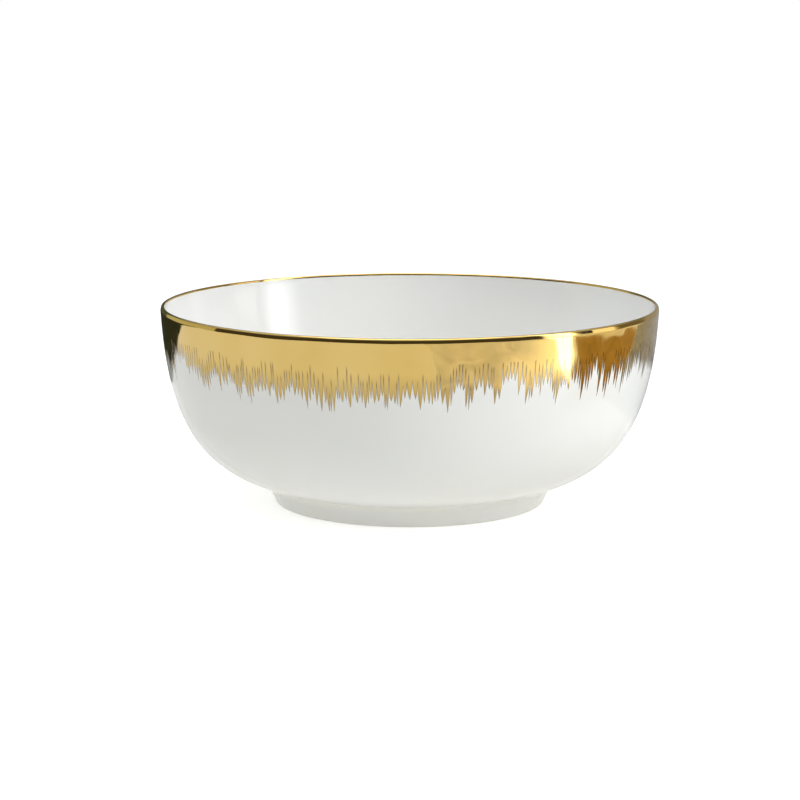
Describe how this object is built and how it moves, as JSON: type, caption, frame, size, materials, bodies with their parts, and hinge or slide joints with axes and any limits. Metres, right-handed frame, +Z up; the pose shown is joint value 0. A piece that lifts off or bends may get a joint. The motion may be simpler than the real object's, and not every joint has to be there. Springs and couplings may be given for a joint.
{
  "type": "serving bowl",
  "caption": "Round porcelain serving bowl on a low foot ring, with a gilded lip and a metallic gold band outside that ends in feathered brush strokes.",
  "frame": {"origin": "centre of the foot ring's resting plane", "axes": "+Z up along the axis that the bowl is turned about; X and Y are any two level directions"},
  "size_m": [0.254, 0.254, 0.1018],
  "materials": {
    "glazed_porcelain": "gloss",
    "foot_porcelain": "gloss",
    "fired_gold": "polished"
  },
  "bodies": {
    "root": {"bowl_shell": "glazed_porcelain", "foot_ring": "foot_porcelain", "gold_band": "fired_gold", "gold_rim_line": "fired_gold"}
  },
  "joints": []
}
